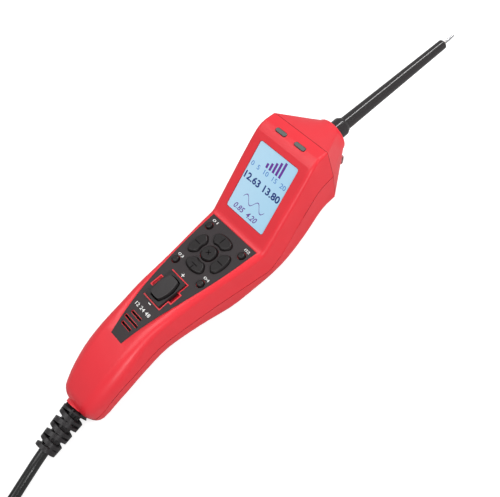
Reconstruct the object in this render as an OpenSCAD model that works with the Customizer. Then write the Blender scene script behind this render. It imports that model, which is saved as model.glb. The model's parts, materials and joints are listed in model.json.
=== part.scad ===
// Handheld circuit tester: a curved two-part handle with a keypad, a tilted colour screen,
// a nose cap with an insulated probe rod, and a lead that leaves through a slotted boot.
// Everything is drawn in the handle's own frame, X along the keypad towards the tip, Y to the
// left, Z out of the keypad, with the origin in the middle of the rocker switch.
// stand() then lays the tester down on its belly and tail. Millimetres.

/* [Handle] */
// Width over the side seam at the head
head_w = 51; // [48:0.5:54]
// Width over the side seam at the nose joint
nose_w = 48; // [46:0.5:50]
// Width over the side seam at the narrowest place of the grip
waist_w = 34.6; // [33:0.2:37]
// Width over the side seam at the swell of the tail
tail_w = 36.8; // [35:0.2:39]
// Depth of the grip under the rocker switch
grip_t = 30.4; // [29:0.2:33]
// Length of the tail behind the switch
tail_l = 82.5; // [80:0.5:88]
// Radius of the arc in which the tail drops
tail_arc = 130; // [120:1:145]
// Depth of the tail at its end
tail_t = 18.5; // [18:0.1:20]
// Length from the switch to the bend below the screen
keypad_l = 54; // [53:0.5:58]
// Length of the head from the bend to the nose joint, along the keypad plane
head_l = 57.5; // [56:0.5:61]
// Pitch of the screen above the keypad plane
screen_pitch = 38.5; // [37:0.5:39]
// Thickness of the moulded walls
wall = 2.2; // [1.9:0.1:2.5]
// Lean of the side walls, in millimetres for each millimetre of height
side_lean = 0.055; // [0.03:0.005:0.08]
// Bevel along the edges of the upper shell and the nose cap where they meet their neighbours
seam_bevel = 0.45; // [0.2:0.05:0.6]

/* [Screen and lights] */
// Length of the display window
window_l = 44.6; // [42:0.2:45.6]
// Width of the display window
window_w = 33; // [31:0.2:34]
// Distance from the bend to the lower edge of the window, along the screen
window_s = 7.9; // [7:0.1:8.5]
// Length of an indicator lens
indicator_l = 9; // [7:0.2:10]
// Width of an indicator lens
indicator_w = 3; // [2.4:0.1:3.4]
// Distance between the centres of the two indicator lenses
indicator_gap = 16; // [14:0.5:20]
// Diameter of a front lamp lens
lamp_d = 5.4; // [4.6:0.2:6]

/* [Keys and switch] */
// Diameter of the round key in the middle
centre_key_d = 10.4; // [9.4:0.2:11]
// Inner radius of the four direction keys
ring_in_r = 6.7; // [6.4:0.1:7.2]
// Outer radius of the four direction keys
ring_out_r = 14.6; // [13.8:0.2:15]
// Diameter of a small round key
small_key_d = 4.6; // [4:0.2:5]
// Height of the key caps above the keypad
key_h = 1.6; // [1.2:0.1:2]
// How far a key travels
key_travel = 0.8; // [0.5:0.1:1]
// Length of the rocker switch frame
switch_l = 20.6; // [19:0.2:22]
// Width of the rocker switch frame
switch_w = 14.3; // [13.9:0.1:15]
// Angle by which the rocker tips each way
rocker_tip = 7; // [4:0.5:8]

/* [Probe] */
// Length of the insulating sheath in front of the collar
sheath_l = 84; // [70:1:110]
// Diameter of the sheath at the collar
sheath_d = 8.3; // [7.6:0.1:8.8]
// Diameter of the sheath at its end
sheath_end_d = 6.2; // [5:0.1:6.6]
// Diameter of the metal tip
tip_d = 2; // [1.6:0.1:2.4]
// Length of the bare metal tip
tip_l = 9; // [6:0.5:14]
// Diameter of the collar at the nose
collar_d = 11.8; // [11:0.1:12.6]
// Length of the collar in front of the nose
collar_l = 9; // [7:0.5:12]

/* [Lead] */
// Diameter of the lead
cord_d = 6.6; // [6:0.1:7]
// Diameter of the boot at the handle
boot_d = 15.2; // [14.4:0.1:15.8]
// Length of the boot outside the handle
boot_l = 30.6; // [28:0.2:36]
// Length of the straight runs of the spare lead, which is folded into a hank
hank_run = 86; // [70:1:110]
// Width of the innermost fold, over the middle of the lead
fold_d = 40; // [40:1:50]
// Turns of the hank on top of each other
hank_rows = 6; // [4:1:7]
// Turns of the hank beside each other
hank_layers = 3; // [2:1:4]

/* [Hidden] */
$fn = 48;

// Colours
red = [0.86, 0.16, 0.19];
charcoal = [0.26, 0.25, 0.25];
black = [0.1, 0.1, 0.1];
steel = [0.75, 0.76, 0.78];
brass = [0.8, 0.65, 0.3];
pale_blue = [0.7, 0.87, 0.96];
board_green = [0.1, 0.35, 0.2];

// Places along the handle
joint_x = keypad_l + head_l;
crown_top = 38.8;
crown_slope = 0.06;
bend_blend = 1.8;
crown_blend = 4;
tail_lean = 0.19;
tail_lean_from = -40;
end_round = 6;
lower_lean = 0.1;
skin = 0.6;
gap = 0.12;
eps = 0.01;

// Interpolates a table of [place, value] rows smoothly
function row_at(t, x) = max([0, for (i = [0:len(t) - 2]) x >= t[i][0] ? i : 0]);
function slope_at(t, i) =
    let (a = max(i - 1, 0), b = min(i + 1, len(t) - 1)) (t[b][1] - t[a][1]) / (t[b][0] - t[a][0]);
function along(t, x) =
    let (i = row_at(t, x), d = t[i + 1][0] - t[i][0], u = (x - t[i][0]) / d)
    t[i][1] * (2 * pow(u, 3) - 3 * pow(u, 2) + 1) + t[i + 1][1] * (3 * pow(u, 2) - 2 * pow(u, 3))
    + d * slope_at(t, i) * (pow(u, 3) - 2 * pow(u, 2) + u)
    + d * slope_at(t, i + 1) * (pow(u, 3) - pow(u, 2));

// Larger or smaller of two surfaces, rounded where they cross
function blend_max(a, b, k) = max(a, b) + pow(max(k - abs(a - b), 0), 2) / (4 * k);
function blend_min(a, b, k) = -blend_max(-a, -b, k);

// Height of the top line: tail arc, keypad plane, screen plane and crown
function screen_z(x) = (x - keypad_l) * tan(screen_pitch);
function crown_z(x) = crown_top - crown_slope * (x - keypad_l - 0.5 * head_l);
function flat_z(x) = x > 0 ? 0 : sqrt(pow(tail_arc, 2) - pow(x, 2)) - tail_arc;
function top_z(x) =
    blend_min(blend_max(flat_z(x), screen_z(x), bend_blend), crown_z(x), crown_blend);

// Height of the bottom line, with the belly straight where the tester lies on it
belly_x = [keypad_l - 21, keypad_l + 14];
belly_z = [-grip_t - 4.1, -grip_t - 0.5];
tail_x = -tail_l + 6.5;
tail_swell_x = -tail_l + 27.5;
bottom_rows = [[-tail_l, top_z(-tail_l) - tail_t + 0.6], [tail_x, top_z(tail_x) - tail_t - 3.4],
    [-tail_l + 20.5, top_z(-tail_l + 20.5) - 23.8], [-45, -grip_t - 4],
    [-30, -grip_t - 1.6], [-16, -grip_t + 0.3],
    [-4, -grip_t], [8, -grip_t - 1.6], [keypad_l - 30, -grip_t - 4.3], [belly_x[0], belly_z[0]],
    [keypad_l, (belly_z[0] * 14 + belly_z[1] * 21) / 35], [belly_x[1], belly_z[1]],
    [keypad_l + 25, -grip_t + 4.4], [keypad_l + 34, -grip_t + 10.6], [keypad_l + 42, -grip_t + 17],
    [keypad_l + 49, -grip_t + 20.6], [joint_x, -grip_t + 21.6]];
function bottom_z(x) = along(bottom_rows, x);
function depth(x) = top_z(x) - bottom_z(x);

// Half width at the side seam, and how far the seam lies below the top line
seam_rows = [[-tail_l, 13.6 / 18.4 * tail_w / 2], [tail_x, 15.2 / 18.4 * tail_w / 2],
    [-tail_l + 14.5, 17 / 18.4 * tail_w / 2], [tail_swell_x, tail_w / 2],
    [-42, 0.5 * tail_w - 0.2], [-24, waist_w / 2],
    [-8, 0.5 * waist_w + 1.2], [10, 0.5 * waist_w + 2.6], [25, 0.5 * waist_w + 4.3],
    [keypad_l - 14, 0.5 * head_w - 1.9], [keypad_l + 2, 0.5 * head_w - 0.3],
    [keypad_l + 16, head_w / 2], [joint_x - 16, 0.5 * head_w - 0.1], [joint_x, nose_w / 2]];
drop_rows = [[-tail_l, 0.52 * tail_t], [tail_x, 12], [-tail_l + 16.5, 11.4],
    [tail_swell_x, 11.4], [-44, 13.4], [-34, 14.6],
    [-20, 15.5], [-5, 16.5], [20, 16.9], [keypad_l - 8, 16.9], [keypad_l, 17.6],
    [keypad_l + 9, 19.6], [keypad_l + 30, 19], [keypad_l + 42, 20], [keypad_l + 50, 21.4],
    [joint_x, 20.9]];
top_round_rows = [[-tail_l, 7], [-tail_l + 22.5, 9], [-45, 8], [-25, 5.4], [0, 4.3], [keypad_l, 3.6],
    [joint_x - 16, 3], [joint_x - 7, 2], [joint_x, 1.2]];
low_round_rows = [[-tail_l, 6.5], [-tail_l + 22.5, 9], [-20, 10], [25, 9.5], [keypad_l - 9, 13],
    [belly_x[1], 15], [keypad_l + 36, 11], [joint_x, 5.5]];
function seam_half(x) = along(seam_rows, x);
function seam_drop(x) = along(drop_rows, x);
function seam_z(x) = top_z(x) - seam_drop(x);

// The tail end is rounded by drawing its last sections smaller
function end_inset(x) =
    let (d = max(x + tail_l, 0))
    d >= end_round ? 0 : end_round - sqrt(pow(end_round, 2) - pow(end_round - d, 2));
function lean(x) =
    x < tail_lean_from ? tail_lean * (tail_lean_from - x) / (tail_lean_from + tail_l) : 0;
// Point of a section: y across, h below the top line, leaning with the tail
function place(x, y, h) = [x + lean(x) * h, y, top_z(x) - h];

// Half sections from the seam up to the middle of the top, and down to the middle of the bottom
arc_steps = 6;
function up_half(x, t) =
    let (d = seam_drop(x), w = seam_half(x) - t, r = max(along(top_round_rows, x) - t, 0.5),
        c = w - side_lean * (d - t - r) - r * sqrt(1 + pow(side_lean, 2)), a0 = atan(side_lean))
    concat([[w, d]], [for (i = [0:arc_steps]) let (a = a0 + (90 - a0) * i / arc_steps)
        [c + r * cos(a), t + r - r * sin(a)]]);
function low_half(x, t) =
    let (d = seam_drop(x), w = seam_half(x) - t, r = max(along(low_round_rows, x) - t, 0.5),
        h = depth(x) - t - r,
        c = w - lower_lean * (h - d) - r * sqrt(1 + pow(lower_lean, 2)), a0 = atan(lower_lean))
    concat([[w, d]], [for (i = [0:arc_steps]) let (a = a0 + (90 - a0) * i / arc_steps)
        [c + r * cos(a), h + r * sin(a)]]);
// Small bevel along the outer edge of the upper shell, which shows as the parting line
function edged(p, v) = concat([[p[0][0] - v, p[0][1]], [p[0][0], p[0][1] - seam_bevel]],
    [for (i = [1:len(p) - 1]) p[i]]);
// Whole upper arch from right seam to left seam, and whole lower trough likewise
function flip(p) = [-p[0], p[1]];
function arch(p) = concat([for (q = p) flip(q)], [for (i = [len(p) - 1:-1:0]) p[i]]);
function ring_up(x, t, v = 0) = [for (q = arch(edged(up_half(x, t), v))) place(x, q[0], q[1])];
function ring_low(x, t) = [for (q = arch(low_half(x, t))) place(x, q[0], q[1])];

// Places of the sections, closer at the bend, the crown and the tail end
end_steps = [0, 0.4, 1.2, 2.5, 4.2, 6.5];
sections = concat([for (d = end_steps) -tail_l + d],
    [for (i = [1:14]) -tail_l + end_steps[5] + (tail_l - end_steps[5] - 4) * i / 14],
    [for (i = [1:8]) -4 + (keypad_l - 2.6 + 4) * i / 8],
    [for (d = [-1.2, 0, 1.2, 2.6]) keypad_l + d],
    [for (i = [1:5]) keypad_l + 2.6 + 35 * i / 5],
    [for (i = [1:6]) keypad_l + 37.6 + (head_l - 37.6) * i / 6]);

// Shell between two families of sections that share their places: outer, inner, rims and ends
function strips(m, n, at, turn) = [for (i = [0:m - 2], j = [0:n - 2])
    let (a = at + i * n + j, b = a + 1, c = a + n, d = c + 1)
    for (f = turn ? [[a, c, b], [b, c, d]] : [[a, b, c], [b, d, c]]) f];
module trough(outer, inner) {
    m = len(outer);
    n = len(outer[0]);
    k = m * n;
    last = (m - 1) * n;
    rims = [for (i = [0:m - 2]) for (f = [
        [i * n, (i + 1) * n, k + (i + 1) * n, k + i * n],
        [k + i * n + n - 1, k + (i + 1) * n + n - 1, (i + 1) * n + n - 1, i * n + n - 1]]) f];
    front = [for (j = [0:n - 2]) [last + j, last + j + 1, k + last + j + 1, k + last + j]];
    back = [[for (j = [n - 1:-1:0]) j], [for (j = [0:n - 1]) k + j], [0, k, k + n - 1, n - 1]];
    polyhedron(points = concat([for (r = outer) each r], [for (r = inner) each r]),
        faces = concat(strips(m, n, 0, false), strips(m, n, k, true), rims, front, back));
}

// Probe, boot and the places that follow from them
nose_l = 22.5;
nose_x = joint_x + nose_l;
rod_z = 15.6;
sheath_x = nose_x + collar_l;
sheath_end_x = sheath_x + sheath_l;
tip_x = sheath_end_x + tip_l;
boot_yaw = 9;
boot_dip = 8;
boot_end_d = boot_d - 1.4;
exit_p = [-tail_l + 1.6, 0, top_z(-tail_l) - 0.5 * tail_t + 0.3];
boot_way = [-cos(boot_dip) * cos(boot_yaw), -sin(boot_yaw), -sin(boot_dip) * cos(boot_yaw)];
boot_end_p = exit_p + boot_l * boot_way;

// Turns the handle to rest on belly and tail, and puts the origin under its middle
tail_low = place(tail_x + 3, 0, depth(tail_x + 3));
rest_pitch = atan((belly_z[0] - tail_low[2]) / (belly_x[0] - tail_low[0]));
function rest_h(p) = p[2] * cos(rest_pitch) - p[0] * sin(rest_pitch);
function rest_x(p) = p[0] * cos(rest_pitch) + p[2] * sin(rest_pitch);
function rest_p(p) = [rest_x(p) - middle_x, p[1], rest_h(p) - lowest];
lowest = min([for (x = sections) for (q = ring_low(x, end_inset(x))) rest_h(q)]);
boot_back = sqrt(1 - pow(rest_x(boot_way), 2)) * boot_end_d / 2;
middle_x = (rest_x([tip_x, 0, rod_z]) + rest_x(boot_end_p) - boot_back) / 2;
module stand() {
    translate([-middle_x, 0, -lowest]) rotate([0, rest_pitch, 0]) children();
}

// Frames of the screen, the speaker, the probe, the boot and the lamps
module on_screen() {
    translate([keypad_l, 0, 0]) rotate([0, -screen_pitch, 0]) children();
}
module on_speaker() {
    translate([speaker_x, 0, flat_z(speaker_x)]) rotate([0, asin(speaker_x / tail_arc), 0])
        children();
}
module on_rod(x) {
    translate([x, 0, rod_z]) rotate([0, 90, 0]) children();
}
module on_boot() {
    translate(exit_p) rotate([0, -boot_dip, 0]) rotate([0, -90, 0]) rotate([boot_yaw, 0, 0])
        children();
}
lamp_p = [joint_x + 16.5, 12.6, 6.2];
lamp_turn = 57.6;
lamp_dip = 5.7;
module on_lamp(side) {
    translate([lamp_p[0], side * lamp_p[1], lamp_p[2]])
        rotate([0, 90 + lamp_dip, side * lamp_turn]) children();
}

// Small shared shapes
module slot_shape(l, w) {
    square([l - w, w], center = true);
    for (e = [-1, 1]) translate([e * (l - w) / 2, 0]) circle(d = w);
}
module round_rect(l, w, r) {
    square([l - 2 * r, w], center = true);
    square([l, w - 2 * r], center = true);
    for (a = [-1, 1], b = [-1, 1]) translate([a * (l / 2 - r), b * (w / 2 - r)]) circle(r = r);
}
module pipe(r_out, r_in, h) {
    difference() {
        cylinder(r = r_out, h = h);
        translate([0, 0, -1]) cylinder(r = r_in, h = h + 2);
    }
}

// Keypad layout
ring_x = 32.5;
ring_key_r = 10.7;
small_keys = [[44.8, 15.4], [44.8, -15.4], [16.4, 12.1], [16.4, -12.1]];
overlay_front = keypad_l - 1.9;
overlay_back = -38.9;
overlay_rows = [[overlay_back, 5.2], [-20, 9.3], [-4, 12.8], [13, 16], [33, 18.8],
    [overlay_front, 20.4]];
overlay_widest = 23.4;
speaker_slots = [[-22.2, 9.2], [-26.3, 12.4], [-30.3, 9]];
speaker_slot_y = 0.4;
speaker_x = -26.3;
slot_w = 1.7;
notch_l = 6.9;
notch_out = 9.5;
lip_w = 0.7;
notch_deep = 1.2;

// Outline of one direction key: a ring sector with rounded corners, grown by g
sector_a = 38;
sector_round = 1.8;
module sector(g) {
    offset(r = sector_round + g, $fn = 24) offset(delta = -sector_round) intersection() {
        difference() {
            circle(r = ring_out_r, $fn = 64);
            circle(r = ring_in_r);
        }
        polygon([[0, 0], [2 * ring_out_r, 2 * ring_out_r * tan(sector_a)],
            [2 * ring_out_r, -2 * ring_out_r * tan(sector_a)]]);
    }
}
// Everything that goes through the keypad, grown by g
module key_holes(g) {
    translate([ring_x, 0]) {
        circle(d = centre_key_d + 2 * g);
        for (a = [0:90:270]) rotate(a) sector(g);
    }
    for (p = small_keys) translate(p) circle(d = small_key_d + 2 * g);
}
module overlay_outline(g) {
    xs = [for (i = [0:12]) overlay_back + (overlay_front - overlay_back) * i / 12];
    side = [for (x = xs) let (end = x == xs[12] ? g : x == xs[0] ? -g : 0)
        [x + end, along(overlay_rows, x) + g]];
    polygon(concat(side, [for (i = [12:-1:0]) flip(side[i]) * -1]));
}
module switch_outline(g) {
    square([switch_l + 2 * g, switch_w + 2 * g], center = true);
}
module notch_outline(g) {
    square([notch_l + 2 * g, 2 * notch_out + 2 * g], center = true);
}
module speaker_outline(g) {
    for (s = speaker_slots)
        translate([s[0], speaker_slot_y]) rotate(90) slot_shape(s[1] + 2 * g, slot_w + 2 * g);
}
// Band that follows the top line from height a down to height b, across the whole handle
module top_band(a, b, x0, x1) {
    steps = 24;
    line = [for (i = [0:steps]) x0 + (x1 - x0) * i / steps];
    upper_edge = [for (x = line) [x, flat_z(x) + a]];
    lower_edge = [for (i = [steps:-1:0]) [line[i], flat_z(line[i]) + b]];
    rotate([90, 0, 0]) linear_extrude(2 * overlay_widest, center = true)
        polygon(concat(upper_edge, lower_edge));
}

// Posts, boards and screws
front_screw_x = keypad_l + 2.5;
rear_screw_x = -tail_l + 30.5;
case_screws_at = [[front_screw_x, 16.5], [front_screw_x, -16.5], [rear_screw_x, 9],
    [rear_screw_x, -9]];
board_posts = [[14.2, 0], [50, 9], [50, -9]];
display_posts = [[10, 19.9], [10, -19.9], [52, 19.9], [52, -19.9]];
post_r = 3;
foot_post_r = 4.4;
board_post_r = 2.2;
display_post_r = 1.9;
post_meet = 3;
pilot_r = 1.3;
small_pilot_r = 0.9;
screw_head_r = 2.5;
screw_sink = 1.2;
screw_seat = 3.2;
screw_reach = 8;
function reach(p) = min(screw_reach, seam_drop(p[0]) - post_meet - wall - 1.8);
board_z = -9.4;
board_t = 1.6;
display_n = -6;
skin_n = wall * cos(screen_pitch);
speaker_r = 9.5;
boss_r = 8.3;
boss_in = 10;
boss_out = 0.9;
boot_bore_r = 5.2;
crown_led_x = joint_x - 7.2;

module post(p, r, z0, z1) {
    translate([p[0], p[1], z0]) cylinder(r = r, h = z1 - z0);
}
// Space above or below the side seam at the tail, kept a hair off the seam
seam_hair = 0.03;
tail_side_l = 20;
module tail_side(s) {
    line = [for (i = [0:6]) let (x = -tail_l + tail_side_l * i / 6)
        place(x, 0, seam_drop(x) - s * seam_hair)];
    start = line[0] - [boss_in + 2, 0, (boss_in + 2) * tan(boot_dip)];
    far = s > 0 ? tail_side_l : -tail_l;
    rotate([90, 0, 0]) linear_extrude(2 * tail_w, center = true) polygon(concat(
        [[start[0], start[2]]], [for (p = line) [p[0], p[2]]], [[line[6][0], far], [start[0], far]]));
}
module tail_boss(s) {
    intersection() {
        on_boot() translate([0, 0, -boss_in]) cylinder(r = boss_r, h = boss_in + boss_out);
        tail_side(s);
    }
}
module boot_bore() {
    on_boot() translate([0, 0, -boss_in - 4]) cylinder(r = boot_bore_r + 0.05, h = boss_in + 12);
}

module upper_shell() {
    color(red) stand() difference() {
        union() {
            trough([for (x = sections) ring_up(x, end_inset(x), seam_bevel)],
                [for (x = sections) ring_up(max(x, -tail_l + wall), end_inset(x) + wall)]);
            tail_boss(1);
            intersection() {
                for (p = case_screws_at) post(p, post_r, seam_z(p[0]) + post_meet, top_z(p[0]) + 4);
                core([for (x = core_xs) ring_up(x, 0.5 * wall)]);
            }
            for (p = board_posts) post(p, board_post_r, board_z + 0.05, -0.5 * wall);
            on_screen() for (p = display_posts)
                post(p, display_post_r, display_n + 0.05, -0.5 * skin_n);
            speaker_seat();
        }
        for (p = case_screws_at) let (z = seam_z(p[0]) + post_meet)
            post(p, pilot_r, z - 1, z + reach(p) + 0.6);
        for (p = board_posts) post(p, small_pilot_r, board_z - 1, board_z + 6);
        on_screen() for (p = display_posts) post(p, small_pilot_r, display_n - 1, display_n + 4.4);
        screen_cuts();
        keypad_cuts();
        boot_bore();
    }
}
module screen_cuts() {
    on_screen() translate([window_s + window_l / 2, 0, -5]) linear_extrude(10)
        round_rect(window_l, window_w, 1.6);
    for (s = [-1, 1]) translate([crown_led_x, s * indicator_gap / 2, crown_z(crown_led_x) - 5])
        linear_extrude(10) rotate(90) slot_shape(indicator_l, indicator_w);
}
module keypad_cuts() {
    intersection() {
        top_band(5, -skin, overlay_back - 1, overlay_front + 1);
        translate([0, 0, -30]) linear_extrude(60) difference() {
            overlay_outline(0);
            switch_outline(lip_w);
            notch_outline(lip_w);
        }
    }
    translate([0, 0, -notch_deep]) linear_extrude(8) notch_outline(0);
    translate([0, 0, -5]) linear_extrude(8) key_holes(0.25);
    translate([0, 0, -5]) linear_extrude(8) switch_outline(0);
    translate([0, 0, -14]) linear_extrude(18) speaker_outline(-0.15);
}
module speaker_seat() {
    on_speaker() translate([0, 0, -6.4]) pipe(speaker_r + 1.4, speaker_r + 0.1, 5.2);
}

module lower_shell() {
    color(red) stand() difference() {
        union() {
            mirror_trough([for (x = sections) ring_low(x, end_inset(x))],
                [for (x = sections) ring_low(max(x, -tail_l + wall), end_inset(x) + wall)]);
            tail_boss(-1);
            intersection() {
                for (p = case_screws_at) {
                    post(p, post_r, bottom_z(p[0]) - 1, seam_z(p[0]));
                    post(p, foot_post_r, bottom_z(p[0]) - 1, bottom_z(p[0]) + 7);
                }
                core([for (x = core_xs) turned(ring_low(x, 0.5 * wall))]);
            }
            for (p = case_screws_at) post(p, post_r, seam_z(p[0]) - 1.5, seam_z(p[0]) + post_meet - 0.05);
        }
        for (p = case_screws_at) {
            post(p, 1.6, bottom_z(p[0]) - 3, seam_z(p[0]) + post_meet + 1);
            post(p, screw_head_r + 0.3, bottom_z(p[0]) - 3, bottom_z(p[0]) + screw_seat);
        }
        boot_bore();
    }
}
// The same points in the other direction
function turned(r) = [for (i = [len(r) - 1:-1:0]) r[i]];
module mirror_trough(outer, inner) {
    trough([for (r = outer) turned(r)], [for (r = inner) turned(r)]);
}
// Solid inside the shells that keeps the screw posts from coming out of the walls
core_xs = concat([for (i = [0:5]) -tail_l + 12.5 + 7 * i], [for (i = [0:6]) keypad_l - 8 + 3.5 * i]);
module core(rows) {
    m = len(rows);
    n = len(rows[0]);
    walls = [for (i = [0:m - 2], j = [0:n - 1]) let (a = i * n + j, b = i * n + (j + 1) % n)
        for (f = [[a, b, a + n], [b, b + n, a + n]]) f];
    ends = [[for (j = [n - 1:-1:0]) j], [for (j = [0:n - 1]) (m - 1) * n + j]];
    polyhedron(points = [for (q = rows) each q], faces = concat(walls, ends));
}

// Nose cap: its sections run straight from the shells' front edge to a round end
ring_r = 10.9;
nose_round = 2.2;
nose_wall = 3.5;
ring_wall = 2.4;
nose_end_wall = 5;
nose_cuts = concat([5], [for (i = [1:arc_steps]) 1], [5, 2], [for (i = [1:arc_steps]) 1], [3]);
function nose_key(t) = let (up = up_half(joint_x, t), low = low_half(joint_x, t)) concat(
    [[0, up[arc_steps + 1][1], 90]],
    [for (i = [arc_steps:-1:0]) [up[i + 1][0], up[i + 1][1], 42 + 8 * i / arc_steps]],
    [[up[0][0], up[0][1], -5]],
    [for (i = [0:arc_steps]) [low[i + 1][0], low[i + 1][1], -20 - 40 * i / arc_steps]],
    [[0, low[arc_steps + 1][1], -90]]);
function nose_fine(k) = concat([for (i = [0:len(k) - 2]) for (j = [0:nose_cuts[i] - 1])
        k[i] + (k[i + 1] - k[i]) * j / nose_cuts[i]], [k[len(k) - 1]]);
// One section, s of the way to the round end, at place x, with round radius r
function nose_ring(t, s, x, r) =
    let (half = [for (q = nose_fine(nose_key(t))) [x, q[0] * (1 - s) + r * cos(q[2]) * s,
            (top_z(joint_x) - q[1]) * (1 - s) + (rod_z + r * sin(q[2])) * s]],
        n = len(half))
    concat(half, [for (i = [n - 2:-1:1]) [half[i][0], -half[i][1], half[i][2]]]);
// Closed hollow body between two families of closed sections, open at the first section
module cup(outer, inner) {
    m = len(outer);
    p = len(inner);
    n = len(outer[0]);
    k = m * n;
    function skin_of(rows, at, turn) = [for (i = [0:rows - 2], j = [0:n - 1])
        let (a = at + i * n + j, b = at + i * n + (j + 1) % n, c = a + n, d = b + n)
        for (f = turn ? [[a, c, b], [b, c, d]] : [[a, b, c], [b, d, c]]) f];
    rim = [for (j = [0:n - 1]) let (b = (j + 1) % n) [b, j, k + j, k + b]];
    out_end = (m - 1) * n;
    in_end = k + (p - 1) * n;
    caps = [[for (j = [0:n - 1]) out_end + j], [for (j = [n - 1:-1:0]) in_end + j]];
    polyhedron(points = concat([for (r = outer) each r], [for (r = inner) each r]),
        faces = concat(skin_of(m, 0, false), skin_of(p, k, true), rim, caps));
}
nose_straight = nose_l - nose_round;
lip_l = 3;
module nose_cap() {
    color(red) stand() difference() {
        cup(concat([for (d = [-lip_l, 0]) nose_ring(wall + gap, 0, joint_x + d, 0)],
                [nose_ring(seam_bevel, 0, joint_x, 0),
                    nose_ring(0, seam_bevel / nose_straight, joint_x + seam_bevel, ring_r)],
                [for (s = [0.25:0.25:1]) nose_ring(0, s, joint_x + s * nose_straight, ring_r)],
                [for (a = [22.5:22.5:90]) nose_ring(0, 1, nose_x - nose_round * (1 - sin(a)),
                    ring_r - nose_round * (1 - cos(a)))]),
            concat([nose_ring(nose_wall, 0, joint_x - lip_l, 0)], [for (s = [0:0.25:1])
                nose_ring(nose_wall, s, joint_x + s * (nose_l - nose_end_wall), ring_r - ring_wall)]));
        on_rod(nose_x - nose_end_wall - 4) cylinder(r = collar_neck_r + 0.05, h = nose_end_wall + 8);
        for (s = [-1, 1]) on_lamp(s) translate([0, 0, -9]) cylinder(d = lamp_d + 0.1, h = 14);
    }
}

// Probe
collar_neck_r = 5;
collar_neck_l = 9;
stub_r = 3.6;
socket_front = nose_x - 6;
pin_in = 16;
lug_l = 5;
tip_taper = 4;
module probe_collar() {
    color(black) stand() difference() {
        on_rod(nose_x - collar_neck_l) rotate_extrude() polygon([[0, 0], [collar_neck_r, 0],
            [collar_neck_r, collar_neck_l], [collar_d / 2 - 0.5, collar_neck_l],
            [collar_d / 2, collar_neck_l + 0.5],
            [collar_d / 2, collar_neck_l + collar_l - 2.4],
            [sheath_d / 2 + 0.4, collar_neck_l + collar_l],
            [0, collar_neck_l + collar_l]]);
        on_rod(nose_x - collar_neck_l - 1) cylinder(r = stub_r + 0.05, h = 30);
        on_rod(sheath_x - 2) cylinder(r = sheath_d / 2 + 0.05, h = 6);
    }
}
module probe_sheath() {
    color(black) stand() difference() {
        on_rod(socket_front) rotate_extrude() polygon([[0, 0], [stub_r, 0],
            [stub_r, sheath_x - 2 - socket_front],
            [sheath_d / 2, sheath_x - 2 - socket_front], [sheath_d / 2, sheath_x - socket_front],
            [sheath_end_d / 2, sheath_end_x - 0.8 - socket_front],
            [sheath_end_d / 2 - 0.8, sheath_end_x - socket_front], [0, sheath_end_x - socket_front]]);
        on_rod(socket_front - 1) cylinder(r = pin_r + 0.05, h = sheath_end_x - socket_front + 2);
    }
}
pin_back = nose_x - pin_in;
pin_r = tip_d / 2 - 0.3;
module probe_tip() {
    color(steel) stand() on_rod(pin_back) rotate_extrude() polygon([[0, 0], [pin_r, 0],
        [pin_r, sheath_end_x + 0.02 - pin_back], [tip_d / 2, sheath_end_x + 0.02 - pin_back],
        [tip_d / 2, tip_x - tip_taper - pin_back], [tip_d * 0.33, tip_x - 0.4 - pin_back],
        [tip_d * 0.2, tip_x - pin_back], [0, tip_x - pin_back]]);
}
module probe_socket() {
    color(brass) stand() difference() {
        union() {
            on_rod(pin_back - 3) cylinder(r = stub_r, h = socket_front - pin_back + 3);
            on_rod(pin_back - 3 - lug_l) cylinder(r = 1.2, h = lug_l + 1);
        }
        on_rod(pin_back - 0.05) cylinder(r = pin_r + 0.05, h = 30);
    }
}

// Screen, display and lights
window_mid = window_s + window_l / 2;
flange_w = 1.2;
module screen_window() {
    color(pale_blue) stand() on_screen() translate([window_mid, 0, 0]) {
        translate([0, 0, -skin_n - 0.1]) linear_extrude(skin_n - 0.2)
            round_rect(window_l - 0.2, window_w - 0.2, 1.5);
        translate([0, 0, -2.6]) linear_extrude(2.6 - skin_n - 0.03)
            round_rect(window_l + 2 * flange_w, window_w + 2 * flange_w, 1.6);
    }
}
lcd_l = 48;
lcd_w = 34.8;
module lcd_module() {
    color(charcoal) stand() on_screen() translate([window_mid, 0, 0]) difference() {
        translate([-lcd_l / 2, -lcd_w / 2, display_n + 0.02]) cube([lcd_l, lcd_w, -display_n - 2.67]);
        translate([-window_l / 2 - 0.6, -window_w / 2 - 0.6, -2.95])
            cube([window_l + 1.2, window_w + 1.2, 1]);
    }
}
display_from = 4.5;
display_to = 60.8;
display_half = 21.4;
led_s = 59.3;
module display_board() {
    color(board_green) stand() on_screen() difference() {
        union() {
            translate([display_from, -display_half, display_n - board_t])
                cube([display_to - display_from, 2 * display_half, board_t]);
            translate([20, -14, display_n - board_t - 2]) cube([9, 9, 2.1]);
            translate([38, 2, display_n - board_t - 1.6]) cube([7, 5, 1.7]);
            translate([12, 0, display_n - board_t - 3.4]) cube([4, 14, 3.5]);
        }
        for (p = display_posts) post(p, 1.1, display_n - 3, display_n + 1);
    }
}
module indicator_lens(s) {
    color(charcoal) stand() translate([crown_led_x, s * indicator_gap / 2, 0]) {
        translate([0, 0, lens_foot]) linear_extrude(crown_z(crown_led_x) + 0.1 - lens_foot)
            rotate(90) slot_shape(indicator_l - 0.2, indicator_w - 0.2);
        translate([0, 0, lens_foot]) linear_extrude(crown_z(crown_led_x) - wall - 0.9 - lens_foot)
            rotate(90) slot_shape(indicator_l + 1.2, indicator_w + 1.2);
    }
}
lens_foot = 33.9;
module indicator_leds() {
    color([0.95, 0.95, 0.85]) stand() on_screen() for (s = [-1, 1])
        translate([led_s - 1.2, s * indicator_gap / 2 - 2.5, display_n]) cube([2.4, 5, 1.2]);
}
lamp_foot = -5.4;
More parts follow.
